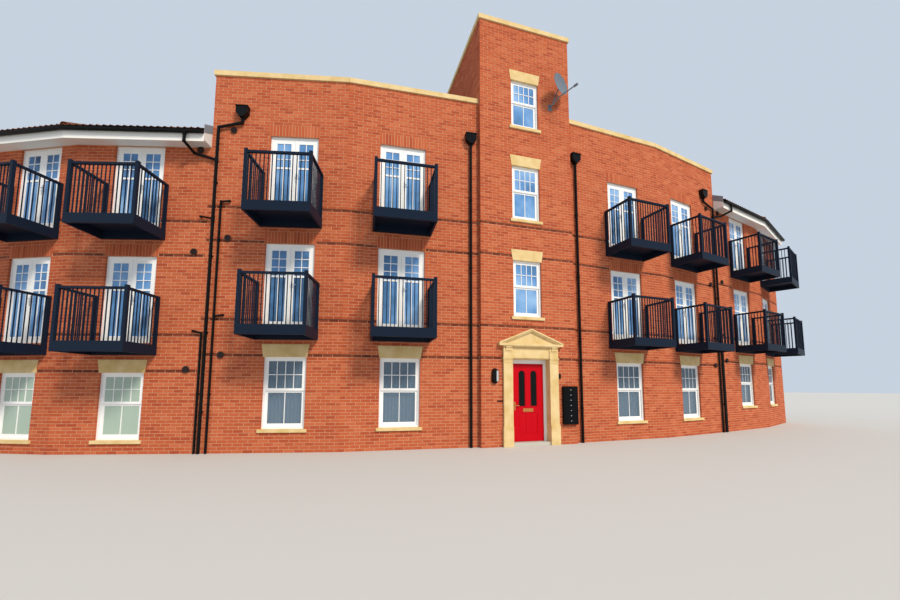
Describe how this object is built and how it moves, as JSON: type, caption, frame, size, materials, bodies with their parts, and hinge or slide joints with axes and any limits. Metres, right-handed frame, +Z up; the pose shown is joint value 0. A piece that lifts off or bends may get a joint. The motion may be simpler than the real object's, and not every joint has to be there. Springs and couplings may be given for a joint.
{
  "type": "apartment block",
  "caption": "Curved brick apartment block of faceted bays with steel balconies, sash windows, a stair tower with a pedimented entrance, and lower wings under pitched roofs.",
  "frame": {"origin": "on the ground under the middle of the stair tower, half-way through the depth of the block", "axes": "+X along the tower front, to the right of a person facing the entrance; +Y from the front to the rear; +Z up"},
  "size_m": [27.6082, 12.5492, 11.6],
  "materials": {
    "brick": "orange red facing brick with pale mortar",
    "brick_plain": "plain brick",
    "concrete": "concrete slab",
    "flat_roof": "grey roofing felt",
    "roof_tiles": "brown concrete tiles",
    "cast_stone": "cream cast stone",
    "white_board": "white board",
    "black_plastic": "black rainwater pipe",
    "white_frame": "white frame",
    "window_glass": "clear glass",
    "balcony_steel": "black painted steel",
    "door_red": "crimson gloss paint",
    "brass": "polished brass",
    "threshold_grey": "pale concrete",
    "lantern_black": "black painted metal",
    "post_box_black": "black painted steel",
    "upper_glass": "reflecting glass",
    "bright_metal": "satin metal",
    "pale_lens": "pale plastic lens",
    "brown_plastic": "brown plastic",
    "dish_grey": "grey painted steel"
  },
  "bodies": {
    "building": {"tower_left_pier": "brick", "tower_right_pier": "brick", "tower_front_wall": "brick", "tower_upper_walls": "brick", "front_walls_1": "brick", "front_walls_2": "brick", "front_walls_3": "brick", "front_walls_4": "brick", "rear_wall_middle": "brick", "rear_walls_1": "brick", "rear_walls_2": "brick", "rear_walls_3": "brick", "rear_walls_4": "brick", "cross_walls": "brick", "party_walls": "brick_plain", "ground_floor": "concrete", "first_floor": "concrete", "second_floor": "concrete", "wing_ceilings": "concrete", "roof_deck": "flat_roof", "tower_roof": "flat_roof", "wing_roofs": "roof_tiles", "parapet_copings": "cast_stone", "tower_coping": "cast_stone", "eaves_boxes": "white_board", "gutters": "black_plastic", "window_lintels": "cast_stone", "window_sills": "cast_stone", "front_windows": "white_frame", "rear_windows": "white_frame", "ground_window_glass": "window_glass", "tower_window_glass": "upper_glass", "rear_window_glass": "upper_glass", "balcony_doors": "white_frame", "balcony_door_glass": "upper_glass", "balcony_door_handles": "bright_metal", "balcony_decks": "balcony_steel", "balcony_front_railings": "balcony_steel", "balcony_side_railings": "balcony_steel", "doorcase_pilasters": "cast_stone", "doorcase_head": "cast_stone", "door_frame": "white_frame", "door_threshold": "threshold_grey", "downpipes": "black_plastic", "rain_hoppers": "black_plastic", "wall_lantern": "lantern_black", "lantern_lens": "pale_lens", "post_boxes": "post_box_black", "wall_vents": "brown_plastic", "entrance_fittings": "lantern_black", "waste_pipes": "black_plastic", "satellite_dish": "dish_grey"},
    "entrance_door": {"door_leaf": "door_red", "door_glass": "window_glass", "door_furniture": "brass"}
  },
  "joints": [
    {"name": "entrance_hinge", "type": "hinge", "parent": "building", "child": "entrance_door", "pos_m": [0.45, -4.276, 1.09], "axis": [0, 0, -1], "range_deg": [0, 90]}
  ]
}
